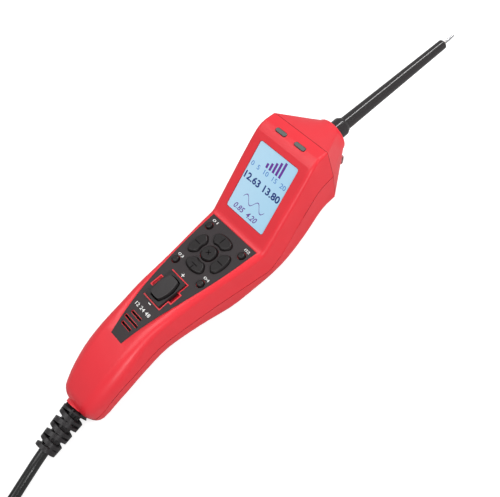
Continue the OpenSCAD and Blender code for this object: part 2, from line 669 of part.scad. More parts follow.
module lamp_lens(s) {
    color(pale_blue) stand() on_lamp(s) rotate_extrude() polygon([[0, lamp_foot],
        [lamp_d / 2, lamp_foot], [lamp_d / 2, -0.1], [lamp_d / 2 - 0.3, 0.2], [lamp_d / 4, 0.4],
        [0, 0.5]]);
}
module lamp_leds() {
    color([0.95, 0.95, 0.85]) stand() for (s = [-1, 1]) on_lamp(s) translate([0, 0, lamp_foot - 3.2])
        cylinder(r = 1.5, h = 3.2);
}

// Keypad
module keypad_overlay() {
    color(charcoal) stand() difference() {
        intersection() {
            top_band(0, -skin + 0.02, overlay_back - 1, overlay_front + 1);
            translate([0, 0, -30]) linear_extrude(60) overlay_outline(-0.1);
        }
        translate([0, 0, -5]) linear_extrude(8) key_holes(0.45);
        translate([0, 0, -5]) linear_extrude(8) switch_outline(lip_w + 0.05);
        translate([0, 0, -5]) linear_extrude(8) notch_outline(lip_w + 0.05);
        translate([0, 0, -14]) linear_extrude(18) speaker_outline(0.2);
    }
}
flange_g = 0.55;
flange_top = -wall - 0.12;
flange_t = 1;
stem_end = -5;
module key_body(stem_at) {
    translate([0, 0, flange_top - 0.5 * flange_t])
        linear_extrude(key_h - flange_top + 0.5 * flange_t) children(0);
    translate([0, 0, flange_top - flange_t]) linear_extrude(flange_t) children(1);
    translate([stem_at, 0, stem_end]) cylinder(r = 1.6, h = 3);
}
module centre_key() {
    color(charcoal) stand() translate([ring_x, 0, 0]) key_body(0) {
        circle(d = centre_key_d);
        circle(d = centre_key_d + 2 * flange_g);
    }
}
module direction_key(turn) {
    color(charcoal) stand() translate([ring_x, 0, 0]) rotate(turn) key_body(ring_key_r) {
        sector(0);
        sector(flange_g);
    }
}
module small_key(i) {
    color(charcoal) stand() translate(small_keys[i]) key_body(0) {
        circle(d = small_key_d);
        circle(d = small_key_d + 2 * flange_g);
    }
}
key_places = concat([[ring_x, 0]],
    [for (a = [0:90:270]) [ring_x + ring_key_r * cos(a), ring_key_r * sin(a)]], small_keys);
module key_switches() {
    color(black) stand() for (p = key_places) translate([p[0], p[1], board_z]) {
        translate([-2.5, -2.5, 0]) cube([5, 5, 3]);
        translate([0, 0, 2.5]) cylinder(r = 1.6, h = stem_end - key_travel - 0.05 - board_z - 2.5);
    }
}
board_back = 11.5;
board_front = 52.4;
board_back_half = 16.6;
board_front_half = 20.8;
board_clear = 0.4;
module main_board() {
    color(board_green) stand() difference() {
        union() {
            translate([0, 0, board_z - board_t]) linear_extrude(board_t)
                polygon([[board_back, board_back_half], [board_front, board_front_half],
                    [board_front, -board_front_half], [board_back, -board_back_half]]);
            translate([41, -6, board_z - board_t - 2.4]) cube([10, 10, 2.5]);
            translate([43.9, 8.8, board_z - board_t - 5]) cylinder(r = 3.2, h = 5.1);
            translate([13, -14, board_z - board_t - 4]) cube([5, 10, 4.1]);
        }
        for (p = board_posts) post(p, 1.1, board_z - 3, board_z + 1);
        for (p = case_screws_at) post(p, post_r + board_clear, board_z - 3, board_z + 1);
    }
}
module power_relay() {
    color(black) stand() translate([20.5, -7.5, board_z - board_t - 14.02]) cube([19, 15, 14]);
}
module board_screws() {
    color(steel) stand() {
        for (p = board_posts) board_screw(p, board_z, board_z - board_t);
        on_screen() for (p = display_posts) board_screw(p, display_n, display_n - board_t);
    }
}
module board_screw(p, top, under) {
    post(p, 0.85, under - 0.5, top + 3.8);
    post(p, 1.8, under - 1.2, under);
}
module case_screws() {
    color(steel) stand() for (p = case_screws_at) difference() {
        union() {
            post(p, screw_head_r, bottom_z(p[0]) + screw_sink, bottom_z(p[0]) + screw_seat);
            post(p, 1.25, bottom_z(p[0]) + screw_sink + 1, seam_z(p[0]) + post_meet + reach(p));
        }
        for (a = [0, 90]) translate([p[0], p[1], bottom_z(p[0]) + screw_sink]) rotate(a)
            cube([3, 0.7, 1.8], center = true);
    }
}

// Rocker switch
frame_g = -0.15;
frame_top = 1.5;
well_l = 15.9;
well_w = 9.5;
rocker_l = 14.9;
rocker_w = 9;
rocker_top = 3.3;
hinge_z = -1.5;
hinge_r = 1;
housing_foot = -14;
well_foot = -12.4;
contacts_x = [-5.4, 0, 5.4];
module switch_housing() {
    color(black) stand() difference() {
        union() {
            translate([0, 0, -3]) linear_extrude(frame_top + 3) switch_outline(frame_g);
            translate([0, 0, -wall - 1.8]) linear_extrude(1.2) switch_outline(1.2);
            translate([0, 0, housing_foot]) linear_extrude(-housing_foot)
                square([switch_l - 1, switch_w - 0.9], center = true);
        }
        translate([-well_l / 2, -well_w / 2, well_foot]) cube([well_l, well_w, 20]);
        translate([0, 8, hinge_z]) rotate([90, 0, 0]) cylinder(r = hinge_r + 0.05, h = 16);
        for (x = contacts_x) translate([x - 0.45, -2.4, housing_foot - 1]) cube([0.9, 4.8, 4]);
    }
}
module switch_rocker() {
    color(charcoal) stand() {
        translate([0, 0, -2.6]) linear_extrude(rocker_top + 2.6) rocker_outline();
        translate([0, 6, hinge_z]) rotate([90, 0, 0]) cylinder(r = hinge_r, h = 12);
        translate([0, 0, -6]) cylinder(r = 1.5, h = 4);
    }
}
module rocker_outline() {
    intersection() {
        square([rocker_l, rocker_w], center = true);
        translate([rocker_l / 2 - 15, 0]) circle(r = 15, $fn = 128);
        translate([15 - rocker_l / 2, 0]) circle(r = 15, $fn = 128);
    }
}
module rocker_contacts() {
    color(brass) stand() for (x = contacts_x) translate([x - 0.4, -2.3, -19]) cube([0.8, 4.6, 9.6]);
}

// Speaker
speaker_foot = -6.8;
module speaker() {
    color(charcoal) stand() on_speaker() {
        difference() {
            translate([0, 0, speaker_foot]) cylinder(r = speaker_r, h = 4);
            translate([0, 0, speaker_foot + 1.4]) cylinder(r1 = 3, r2 = 8, h = 2.7);
        }
        translate([0, 0, speaker_foot - 2.6]) cylinder(r = 5, h = 3);
    }
}

// Boot with wedge slots cut from left and right in turn
boot_r = boot_d / 2;
collar_ring = 2.8;
slots = 6;
slot_pitch = (boot_l - 4.2) / slots;
lug_out = 0.6;
notch_cut = 1.5;
slot_open = 3.4;
boot_core_r = 4.3;
holder_l = 3.3;
holder_w = 14.8;
holder_up = 8;
apex_in = 0.72;
module strain_relief() {
    color(charcoal) stand() on_boot() {
        translate([-holder_up / 2, -holder_w / 2, -boss_in - holder_l - 0.1])
            cube([holder_up, holder_w, holder_l]);
        translate([0, 0, -boss_in - 2]) cylinder(r = boot_bore_r, h = boss_in + 4);
        difference() {
            union() {
                translate([0, 0, boss_out + 0.05]) cylinder(r = boot_r, h = collar_ring);
                translate([0, 0, collar_ring])
                    cylinder(r1 = boot_r + lug_out, r2 = boot_end_d / 2, h = boot_l - collar_ring);
            }
            for (i = [0:slots - 1]) difference() {
                translate([0, 0, collar_ring + slot_pitch * (i + 0.5)]) wedge(i % 2 == 0 ? -1 : 1);
                translate([0, 0, -1]) cylinder(r = boot_core_r, h = boot_l + 2);
            }
        }
        for (i = [0:slots - 1]) let (side = i % 2 == 0 ? -1 : 1)
            translate([-boot_core_r - 1, side * 1.6 - 0.6, collar_ring + slot_pitch * i])
                cube([2 * boot_core_r + 2, 1.2, slot_pitch]);
    }
}
module wedge(side) {
    rotate([90, 0, 90]) linear_extrude(30, center = true) {
        polygon([[-side * boot_r * apex_in, 0], [side * (boot_r + 1), -slot_open / 2 - 0.2],
            [side * (boot_r + 1), slot_open / 2 + 0.2]]);
        polygon([[-side * (boot_r - notch_cut), 0], [-side * (boot_r + 1), -1.2],
            [-side * (boot_r + 1), 1.2]]);
    }
}

// Smooth tube through a list of points
function between(p, i, u) =
    let (a = p[max(i - 1, 0)], b = p[i], c = p[i + 1], d = p[min(i + 2, len(p) - 1)])
    0.5 * (2 * b + (c - a) * u + (2 * a - 5 * b + 4 * c - d) * pow(u, 2)
        + (3 * b - a - 3 * c + d) * pow(u, 3));
function smooth(p, k) =
    concat([for (i = [0:len(p) - 2]) for (j = [0:k - 1]) between(p, i, j / k)], [p[len(p) - 1]]);
function unit(v) = v / norm(v);
module tube(path, r, n, side_of) {
    m = len(path);
    function way(i) = unit(path[min(i + 1, m - 1)] - path[max(i - 1, 0)]);
    rings = [for (i = [0:m - 1]) let (w = way(i), a = unit(cross(w, side_of)), b = cross(w, a))
        [for (j = [0:n - 1]) path[i] + r * (a * cos(360 * j / n) + b * sin(360 * j / n))]];
    walls = [for (i = [0:m - 2], j = [0:n - 1]) let (a = i * n + j, b = i * n + (j + 1) % n)
        for (f = [[a, a + n, b], [b, a + n, b + n]]) f];
    ends = [[for (j = [0:n - 1]) j], [for (j = [n - 1:-1:0]) (m - 1) * n + j]];
    polyhedron(points = [for (q = rings) each q], faces = concat(walls, ends));
}

// Wires inside: from the lead to the main board, and from the board to the probe socket
wire_r = 0.9;
wire_apart = 2.2;
wire_gap = 0.5;
wire_in = exit_p - (boss_in + holder_l + 0.1 + wire_gap) * boot_way;
tail_wire_x = -tail_l + 24.5;
function lead_wire(s) = concat([wire_in + s * wire_apart * [-sin(boot_yaw), cos(boot_yaw), 0]],
    [for (p = [[tail_wire_x, wire_apart, top_z(tail_wire_x) - 20.3], [-46, 2.5, -29.6],
        [-28, 4.6, -25.8], [-8, 5.6, -24.5], [6, 5.6, -24.2], [14, 4, -21.5], [15.4, 3, -17.8]])
        [p[0], s * p[1], p[2]]]);
lug_x = pin_back - 3 - lug_l;
probe_wire = [[lug_x - 0.3, 0, rod_z], [lug_x - 4, 0, rod_z - 2.5], [88, 0, 4], [72, 0, -9],
    [58, 0, -16.6], [50.5, -1, -18], [47.5, -1, -16.8], [46.4, -1, -13.5]];
module inner_wires() {
    color(red) stand() for (s = [-1, 1])
        tube(smooth(lead_wire(s), 3), wire_r, 6, [0, 1, 0]);
    color(red) stand() tube(smooth(probe_wire, 3), wire_r, 6, [0, 1, 0]);
}

// Lead: lies on the floor from the boot to the hank, in line with the handle
cord_r = cord_d / 2;
tie_t = 1.2;
tie_w = 12;
hank_lift = tie_t + 0.1;
hank_w = hank_layers * cord_d;
hank_h = hank_rows * cord_d;
hank_mid_r = fold_d / 2 - cord_r + hank_w / 2;
hank_at = [-264.5, 18];
hank_far_x = hank_at[0] - hank_run;
side_y = hank_at[1] - hank_mid_r - hank_w / 2 + cord_r;
cord_start = rest_p(boot_end_p);
cord_z = cord_r + 0.05;
row_z = hank_lift + cord_r;
lead_route = [[-184, -6.8, 6.8], [-195, -9, 4.9], [-210, -12.5, cord_z],
    [-226, side_y + 0.4, cord_z + 0.3], [-240, side_y, row_z]];
module power_cord() {
    last = [hank_at[0] + 14, side_y, row_z];
    color(black) tube(smooth(concat([cord_start], lead_route, [last]), 4), cord_r, 10, [0, 0, 1]);
}
module hank_outline(r) {
    translate([hank_far_x, hank_at[1] - r]) square([hank_run, 2 * r]);
    for (x = [hank_far_x, hank_at[0]]) translate([x, hank_at[1]]) circle(r = r, $fn = 96);
}
module cord_hank() {
    color(black) translate([0, 0, hank_lift]) linear_extrude(hank_h) difference() {
        hank_outline(hank_mid_r + hank_w / 2);
        hank_outline(hank_mid_r - hank_w / 2);
    }
}
module cord_tie() {
    tie_x = hank_at[0] - hank_run / 2 - tie_w / 2;
    color(charcoal) for (s = [-1, 1])
        translate([tie_x, hank_at[1] + s * hank_mid_r - hank_w / 2, hank_lift]) difference() {
            translate([0, -tie_t, -tie_t]) cube([tie_w, hank_w + 2 * tie_t, hank_h + 2 * tie_t]);
            translate([-1, -0.02, -0.02]) cube([tie_w + 2, hank_w + 0.04, hank_h + 0.04]);
        }
}
// Power connector at the end of the last turn, which leaves the hank in its second row
connector_x = hank_far_x - 30;
connector_z = hank_lift + 1.5 * cord_d;
connector_w = 18;
connector_h = 19;
plug_l = 26;
pin_l = 12;
pin_w = 7;
pin_h = 10;
pin_wall = 1.2;
module cord_connector() {
    color(charcoal) translate([connector_x, side_y, 0]) {
        translate([-3, 0, connector_z]) rotate([0, 90, 0]) cylinder(r = cord_r, h = 33);
        translate([-plug_l, -connector_w / 2, 0.1]) cube([plug_l, connector_w, connector_h]);
        for (y = [-pin_w - 1, 1]) translate([-plug_l - pin_l + 0.1, y, connector_z - pin_h / 2])
            difference() {
                cube([pin_l, pin_w, pin_h]);
                translate([-1, pin_wall, pin_wall])
                    cube([pin_l - 1, pin_w - 2 * pin_wall, pin_h - 2 * pin_wall]);
            }
    }
}

upper_shell();
lower_shell();
nose_cap();
probe_collar();
probe_sheath();
probe_tip();
probe_socket();
screen_window();
lcd_module();
display_board();
indicator_lens(1);  // indicator_lens_left
indicator_lens(-1);  // indicator_lens_right
indicator_leds();
lamp_lens(1);  // lamp_lens_left
lamp_lens(-1);  // lamp_lens_right
lamp_leds();
keypad_overlay();
centre_key();
direction_key(0);  // front_key
direction_key(180);  // rear_key
direction_key(90);  // left_key
direction_key(270);  // right_key
small_key(0);  // small_key_front_left
small_key(1);  // small_key_front_right
small_key(2);  // small_key_rear_left
small_key(3);  // small_key_rear_right
key_switches();
main_board();
power_relay();
inner_wires();
switch_housing();
switch_rocker();
rocker_contacts();
speaker();
case_screws();
board_screws();
strain_relief();
power_cord();
cord_hank();
cord_tie();
cord_connector();
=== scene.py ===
import bpy, json, math
from mathutils import Matrix, Vector


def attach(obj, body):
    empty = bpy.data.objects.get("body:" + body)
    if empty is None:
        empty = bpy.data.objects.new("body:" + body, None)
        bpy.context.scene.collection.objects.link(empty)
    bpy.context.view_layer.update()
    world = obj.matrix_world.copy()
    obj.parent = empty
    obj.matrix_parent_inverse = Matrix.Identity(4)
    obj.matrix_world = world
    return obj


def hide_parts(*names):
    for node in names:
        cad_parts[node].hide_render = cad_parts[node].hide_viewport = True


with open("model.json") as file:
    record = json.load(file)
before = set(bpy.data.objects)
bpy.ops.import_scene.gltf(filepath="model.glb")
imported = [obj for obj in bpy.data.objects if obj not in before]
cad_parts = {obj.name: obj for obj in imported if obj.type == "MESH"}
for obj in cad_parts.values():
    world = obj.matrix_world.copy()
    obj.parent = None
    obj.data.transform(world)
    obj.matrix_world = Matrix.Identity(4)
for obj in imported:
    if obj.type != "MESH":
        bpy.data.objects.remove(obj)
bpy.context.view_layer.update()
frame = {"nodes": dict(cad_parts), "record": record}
nodes = frame["nodes"]
bodyOf = {n: body for body, members in frame["record"]["behaviour"]["bodies"].items() for n in members}
mm = 0.001
print("frame loaded:", len(nodes), "nodes")

# The keypad frame of the source, in mm: X along the keypad, Z out of it, origin in the middle of the switch
handle = {"pitch": 5.89451, "back": 60.3095, "lift": 38.802, "bendX": 54.0, "screenPitch": 38.5,
          "tailArc": 130.0}
lean = Matrix.Rotation(math.radians(handle["pitch"]), 4, "Y")
keypadFrame = Matrix.Scale(mm, 4) @ Matrix.Translation((-handle["back"], 0, handle["lift"])) @ lean
toKeypad = keypadFrame.inverted()
screenFrame = (keypadFrame @ Matrix.Translation((handle["bendX"], 0, 0))
               @ Matrix.Rotation(math.radians(-handle["screenPitch"]), 4, "Y"))


def atKeypad(x, y, z=0.0):
    return keypadFrame @ Vector((x, y, z))


def calm():  # back to object mode with nothing selected
    if bpy.context.object and bpy.context.object.mode != "OBJECT":
        bpy.ops.object.mode_set(mode="OBJECT")
    bpy.ops.object.select_all(action="DESELECT")


def pick(piece):
    calm()
    piece.select_set(True)
    bpy.context.view_layer.objects.active = piece
    return piece


def settle(piece, place=None):  # puts the place into the mesh and leaves the object at the origin
    pick(piece)
    bpy.ops.object.transform_apply(location=True, rotation=True, scale=True)
    if place is not None:
        piece.data.transform(place)
        piece.data.update()
    return piece


def keep(piece, name, finish, body="handle"):
    piece.name = name
    piece.data.name = name
    piece.data.materials.clear()
    piece.data.materials.append(finish)
    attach(piece, body)
    return piece


def addModifier(piece, kind, **settings):
    pick(piece)
    step = piece.modifiers.new(kind.title(), kind)
    for key, value in settings.items():
        setattr(step, key, value)
    bpy.ops.object.modifier_apply(modifier=step.name)


def withModifier(piece, other, how):  # joins or cuts with another piece, which is used up
    addModifier(piece, "BOOLEAN", object=other, operation=how, solver="EXACT")
    bpy.data.objects.remove(other, do_unlink=True)


def joined(name, pieces):
    pick(pieces[0])
    for piece in pieces:
        piece.select_set(True)
    bpy.ops.object.join()
    pieces[0].name = pieces[0].data.name = name
    return pieces[0]


def planFace(plan, z=0.0):  # flat face with the plan's points, left selected in edit mode
    calm()
    bpy.ops.mesh.primitive_circle_add(vertices=len(plan), fill_type="NGON")
    piece = bpy.context.object
    for v, (x, y) in zip(piece.data.vertices, plan):
        v.co = (x, y, z)
    bpy.ops.object.mode_set(mode="EDIT")
    bpy.ops.mesh.select_all(action="SELECT")
    return piece


def pullUp(height):  # in edit mode
    bpy.ops.mesh.extrude_region_move(TRANSFORM_OT_translate={"value": (0, 0, height)})


def closeUp():  # faces outwards, and out of edit mode
    bpy.ops.mesh.select_all(action="SELECT")
    bpy.ops.mesh.normals_make_consistent(inside=False)
    bpy.ops.object.mode_set(mode="OBJECT")


# Camera: worked out from the screen, the keypad and the switch in the photograph
photoCamera = {"place": (-0.06697, -0.25246, 0.41865), "turn": (28.476, 16.1275, -40.811), "lens": 56.976,
               "sensor": 36, "clip": 0.01}
bpy.ops.object.camera_add(location=photoCamera["place"],
                          rotation=[math.radians(a) for a in photoCamera["turn"]])
camera = bpy.context.object
camera.name = "photoCamera"
camera.data.lens = photoCamera["lens"]
camera.data.sensor_width = photoCamera["sensor"]
camera.data.clip_start = photoCamera["clip"]
bpy.context.scene.camera = camera
print("camera placed")

# Lead: the seen stretch follows the source's route, the rest goes turn by turn inside the hank's solid
lead = {"diameter": 6.6, "roundness": 5, "start": (-110.829, -4.787, -42.689),
        "route": [(-184, -6.8, 6.8), (-195, -9, 4.9), (-210, -12.5, 3.35), (-226, -14.8, 3.65),
                  (-240, -15.2, 4.6)],
        "routeSteps": 6, "hankAt": (-264.5, 18), "lift": 1.3, "run": 86, "fold": 20.0, "foldSteps": 9,
        "sideShare": 0.22, "shiftFrom": 0.82, "lastMark": 0.219,
        "cells": [(2, 0), (1, 0), (0, 0), (0, 1), (0, 2), (0, 3), (0, 4), (0, 5), (1, 5), (2, 5), (2, 4),
                  (1, 4), (1, 3), (2, 3), (2, 2), (1, 2), (1, 1), (2, 1)],  # ring and row of each turn
        "end": [(-352, -15.2, 11.2)]}
leadRadius = lead["diameter"] / 2
lastTurn = len(lead["cells"]) - 1


def smoothLine(points, steps):
    out = []
    for i in range(len(points) - 1):
        a, b, c, d = (Vector(points[k]) for k in (max(i - 1, 0), i, i + 1, min(i + 2, len(points) - 1)))
        for j in range(steps):
            u = j / steps
            out.append(0.5 * (2 * b + (c - a) * u + (2 * a - 5 * b + 4 * c - d) * u ** 2
                              + (3 * b - a - 3 * c + d) * u ** 3))
    return out + [Vector(points[-1])]


def hankPoint(turn, q):  # q runs 0 to 1 along a turn: side, far fold, side, near fold
    shift = max(0.0, (q - lead["shiftFrom"]) / (1 - lead["shiftFrom"]))
    shift = shift * shift * (3 - 2 * shift)
    here, after = lead["cells"][turn], lead["cells"][min(turn + 1, lastTurn)]
    ring, row = (a + (b - a) * shift for a, b in zip(here, after))
    r = lead["fold"] + ring * lead["diameter"]
    x, y = lead["hankAt"]
    z = lead["lift"] + leadRadius + row * lead["diameter"]
    side, fold = lead["sideShare"], 0.5 - lead["sideShare"]
    if q < side:
        return Vector((x - lead["run"] * q / side, y - r, z))
    if q < 0.5:
        a = math.radians(-90 - 180 * (q - side) / fold)
        return Vector((x - lead["run"] + r * math.cos(a), y + r * math.sin(a), z))
    if q < 0.5 + side:
        return Vector((x - lead["run"] * (0.5 + side - q) / side, y + r, z))
    a = math.radians(90 - 180 * (q - 0.5 - side) / fold)
    return Vector((x + r * math.cos(a), y + r * math.sin(a), z))


def turnMarks():  # few points on the straight sides, more round the folds
    side, fold, steps = lead["sideShare"], 0.5 - lead["sideShare"], lead["foldSteps"]
    marks = [0.0, side / 2] + [side + fold * k / steps for k in range(steps + 1)]
    return marks + [0.5 + side / 2] + [0.5 + side + fold * k / steps for k in range(steps)]


wound = [hankPoint(turn, q) for turn in range(lastTurn) for q in turnMarks()]
wound += [hankPoint(lastTurn, q) for q in (0.0, lead["sideShare"] / 2, lead["lastMark"])]
leadStart = atKeypad(*lead["start"]) / mm
leadLine = smoothLine([leadStart, *lead["route"], wound[0]], lead["routeSteps"]) + wound[1:]
leadLine = [p * mm for p in leadLine + [Vector(p) for p in lead["end"]]]
leadLength = sum((b - a).length for a, b in zip(leadLine, leadLine[1:]))
leadCurve = bpy.data.curves.new("supply_lead", "CURVE")
leadCurve.dimensions = "3D"
leadCurve.bevel_depth = 1.0  # the points carry the radius, so the box round the curve is right
leadCurve.bevel_resolution = lead["roundness"]
leadCurve.use_fill_caps = True
spline = leadCurve.splines.new("POLY")
spline.points.add(len(leadLine) - 1)
for point, p in zip(spline.points, leadLine):
    point.co = (*p, 1.0)
spline.use_smooth = True
spline.points.foreach_set("radius", [leadRadius * mm] * len(leadLine))
supplyLead = bpy.data.objects.new("supply_lead", leadCurve)
bpy.context.scene.collection.objects.link(supplyLead)
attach(supplyLead, "handle")
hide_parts("power_cord", "cord_hank")
print(f"lead laid: {leadLength:.3f} m")


# Shader maths: a socket with the operators that the finishes use
class Wire:
    def __init__(self, finish, socket):
        self.finish, self.socket = finish, socket

    def work(self, how, first, second):
        return self.finish.node("ShaderNodeMath", {"operation": how}, {0: first, 1: second})

    def __add__(self, other):
        return self.work("ADD", self, other)

    def __radd__(self, other):
        return self.work("ADD", other, self)

    def __sub__(self, other):
        return self.work("SUBTRACT", self, other)

    def __rsub__(self, other):
        return self.work("SUBTRACT", other, self)

    def __mul__(self, other):
        return self.work("MULTIPLY", self, other)

    def __rmul__(self, other):
        return self.work("MULTIPLY", other, self)

    def between(self, low, high):  # 0 below low, 1 above high
        return self.finish.node("ShaderNodeMapRange", {"interpolation_type": "SMOOTHSTEP"},
                                {"Value": self, "From Min": low, "From Max": high})


class Finish:
    def __init__(self, name, **fixed):
        self.material = bpy.data.materials.new(name)
        self.material.use_nodes = True
        self.tree = self.material.node_tree
        self.shader = next(n for n in self.tree.nodes if n.type == "BSDF_PRINCIPLED")
        for key, value in fixed.items():
            self.shader.inputs[key.replace("_", " ")].default_value = value
        self.place = Wire(self, self.tree.nodes.new("ShaderNodeTexCoord").outputs["Object"])

    def node(self, kind, settings=None, inputs=None, output=0):
        made = self.tree.nodes.new(kind)
        for key, value in (settings or {}).items():
            setattr(made, key, value)
        for key, value in (inputs or {}).items():
            if isinstance(value, Wire):
                self.tree.links.new(value.socket, made.inputs[key])
            else:
                made.inputs[key].default_value = value
        return Wire(self, made.outputs[output])

    def feed(self, key, wire):
        self.tree.links.new(wire.socket, self.shader.inputs[key])

    def noise(self, size, detail=2.0, stretch=None):  # size of the grain in mm
        place = self.place
        if stretch:
            place = self.node("ShaderNodeMapping", {}, {"Vector": place, "Scale": stretch})
        return self.node("ShaderNodeTexNoise", {}, {"Vector": place, "Scale": 1 / (size * mm),
                                                   "Detail": detail})

    def mix(self, share, a, b):  # 6 and 7 are the node's colour inputs, 2 its colour output
        return self.node("ShaderNodeMix", {"data_type": "RGBA"}, {0: share, 6: a, 7: b}, 2)

    def bump(self, height, depth):  # depth in mm
        self.feed("Normal", self.node("ShaderNodeBump", {}, {"Height": height, "Distance": depth * mm,
                                                             "Strength": 1.0}))


def inkOf(r, g, b):  # screen colour 0-255 to the linear colour a shader wants
    line = [c / 12.92 if c <= 0.04045 else ((c + 0.055) / 1.055) ** 2.4 for c in (r / 255, g / 255, b / 255)]
    return (*line, 1.0)


def shaded(ink, share):
    return (*[c * share for c in ink[:3]], 1.0)


mottle = {"detail": 3.0, "from": 0.3, "to": 0.7, "blotch": 0.4, "blotchDetail": 4.0}


def moulded(name, ink, dark=0.93, rough=0.32, roughSpread=0.08, grain=0.5, depth=0.012, patch=14.0, **fixed):
    f = Finish(name, **fixed)
    cloud = f.noise(patch, mottle["detail"])
    blotch = f.noise(patch * mottle["blotch"], mottle["blotchDetail"])
    fine = f.noise(grain)
    f.feed("Base Color", f.mix(cloud.between(mottle["from"], mottle["to"]), shaded(ink, dark), ink))
    f.feed("Roughness", rough + (blotch - 0.5) * roughSpread * 2 + (fine - 0.5) * roughSpread)
    f.bump(fine, depth)
    return f.material


# Red handle
redShell = moulded("redShell", inkOf(227, 39, 52), dark=0.96, rough=0.37, grain=0.45, depth=0.008, patch=22.0)
# Painted shade: dark red laid in the seam grooves where the gap throws shadow
seamPaintedShade = moulded("seamPaintedShade", inkOf(150, 12, 22), rough=0.7, grain=0.4, depth=0.004, patch=3.0)
# Painted shade: near black on the walls inside the speaker's slots
slotPaintedShade = moulded("slotPaintedShade", inkOf(30, 5, 8), rough=0.7, grain=0.4, depth=0.004, patch=3.0)
# Black film, keys, switch, rod, boot and lead
filmBlack = moulded("filmBlack", inkOf(46, 39, 41), rough=0.55, grain=0.35, depth=0.01, patch=9.0,
                    Specular_IOR_Level=0.35)
keyRubber = moulded("keyRubber", inkOf(24, 20, 21), rough=0.42, grain=0.3, depth=0.01, patch=5.0,
                    Specular_IOR_Level=0.35)
rockerPlastic = moulded("rockerPlastic", inkOf(47, 44, 45), rough=0.42, grain=0.4, depth=0.008, patch=6.0,
                        Specular_IOR_Level=0.35)
framePlastic = moulded("framePlastic", inkOf(36, 33, 34), rough=0.4, grain=0.4, depth=0.008, patch=6.0,
                       Specular_IOR_Level=0.35)
rodPlastic = moulded("rodPlastic", inkOf(40, 37, 38), rough=0.16, roughSpread=0.03, grain=0.6, depth=0.001,
                     patch=12.0)
bootRubber = moulded("bootRubber", inkOf(31, 28, 30), rough=0.38, grain=0.35, depth=0.015, patch=5.0,
                     Specular_IOR_Level=0.4)
leadJacket = moulded("leadJacket", inkOf(18, 18, 18), rough=0.24, grain=1.2, depth=0.01, patch=9.0)
plugPlastic = moulded("plugPlastic", inkOf(30, 30, 31), rough=0.45, grain=0.4, depth=0.01, patch=7.0)
tieNylon = moulded("tieNylon", inkOf(40, 40, 41), rough=0.4, grain=0.5, depth=0.006, patch=5.0)
# Lenses
lensGrey = moulded("lensGrey", inkOf(30, 31, 31), rough=0.2, grain=0.5, depth=0.004, patch=3.0,
                   Coat_Weight=0.6)
# Painted reflection: paler grey on the flat tops of the indicator lenses
lensTopPaintedReflection = moulded("lensTopPaintedReflection", inkOf(94, 100, 97), rough=0.16, grain=0.5, depth=0.004, patch=3.0,
                     Coat_Weight=0.6)
# Clear lamp lenses; the pink tint is a painted reflection of the red shell round them
lensClearPaintedRed = moulded("lensClearPaintedRed", inkOf(212, 130, 134), rough=0.08, roughSpread=0.03, grain=0.6, depth=0.003,
                    patch=3.0, Transmission_Weight=0.92, IOR=1.45)
# Parts inside
wireRed = moulded("wireRed", inkOf(190, 30, 34), rough=0.3, grain=0.8, depth=0.004)
speakerPaper = moulded("speakerPaper", inkOf(44, 42, 42), rough=0.8, grain=0.25, depth=0.03, patch=2.0)
relayCase = moulded("relayCase", inkOf(46, 62, 96), rough=0.4, grain=0.5, depth=0.006, patch=6.0)
ledCream = moulded("ledCream", inkOf(232, 226, 190), rough=0.3, grain=0.4, depth=0.003, patch=2.0)
# Inks, and painted shade round the display window
whitePrint = moulded("whitePrint", inkOf(236, 236, 234), rough=0.5, grain=0.25, depth=0.004, patch=2.0)
inkNavy = moulded("inkNavy", inkOf(16, 48, 122), rough=0.2, grain=0.3, depth=0.001, patch=2.0)
inkPurple = moulded("inkPurple", inkOf(104, 50, 152), rough=0.2, grain=0.3, depth=0.001, patch=2.0)
inkBlue = moulded("inkBlue", inkOf(84, 136, 205), rough=0.2, grain=0.3, depth=0.001, patch=2.0)
# Painted shade: dark red for the line round the display window where its recess throws shadow
recessPaintedShade = moulded("recessPaintedShade", inkOf(104, 34, 48), rough=0.6, grain=0.3, depth=0.002, patch=2.0)
keyMark = moulded("keyMark", inkOf(3, 2, 3), rough=0.9, grain=0.3, depth=0.002, patch=2.0,
                  Specular_IOR_Level=0.0)

turned = {"streak": 1.2, "detail": 3.0, "stretch": (0.15, 1.0, 1.0), "dark": 0.86, "roughSpread": 0.12,
          "depth": 0.004}


def metal(name, ink, rough, tint=None, tintUpTo=None):
    f = Finish(name, Metallic=1.0)
    streak = f.noise(turned["streak"], turned["detail"], turned["stretch"])
    colour = f.mix(streak, shaded(ink, turned["dark"]), ink)
    if tint:  # discoloured towards the handle
        x = f.node("ShaderNodeSeparateXYZ", {}, {0: f.place})
        colour = f.mix(x.between(*tintUpTo), tint, colour)
    f.feed("Base Color", colour)
    f.feed("Roughness", rough + streak * turned["roughSpread"])
    f.bump(streak, turned["depth"])
    return f.material


tipSteel = metal("tipSteel", inkOf(205, 205, 208), 0.2, inkOf(176, 142, 92), (0.1655, 0.1695))
screwSteel = metal("screwSteel", inkOf(188, 189, 192), 0.28)
brassTurned = metal("brassTurned", inkOf(196, 160, 88), 0.26)

board = {"trackScale": 260.0, "trackWidth": 0.03, "green": inkOf(16, 84, 44), "paleGreen": inkOf(20, 96, 50),
         "track": inkOf(34, 122, 66), "lacquer": 0.3, "rough": 0.3, "roughSpread": 0.2, "patch": 2.0,
         "grain": 0.5, "depth": 0.01}


def circuitBoard(name):
    f = Finish(name, Coat_Weight=board["lacquer"])
    f.feed("Base Color", f.node("ShaderNodeTexBrick", {}, {
        "Vector": f.place, "Scale": board["trackScale"], "Mortar Size": board["trackWidth"],
        "Color1": board["green"], "Color2": board["paleGreen"], "Mortar": board["track"]}))
    f.feed("Roughness", board["rough"] + f.noise(board["patch"]) * board["roughSpread"])
    f.bump(f.noise(board["grain"]), board["depth"])
    return f.material


boardGreen = circuitBoard("boardGreen")

glow = {"ink": inkOf(154, 193, 216), "shine": 0.28, "paler": 0.12, "fadeOver": (-0.016, 0.016), "dark": 0.97,
        "rough": 0.12, "coat": 0.4, "grain": 0.25, "wave": 6.0, "waveDeep": 0.002}


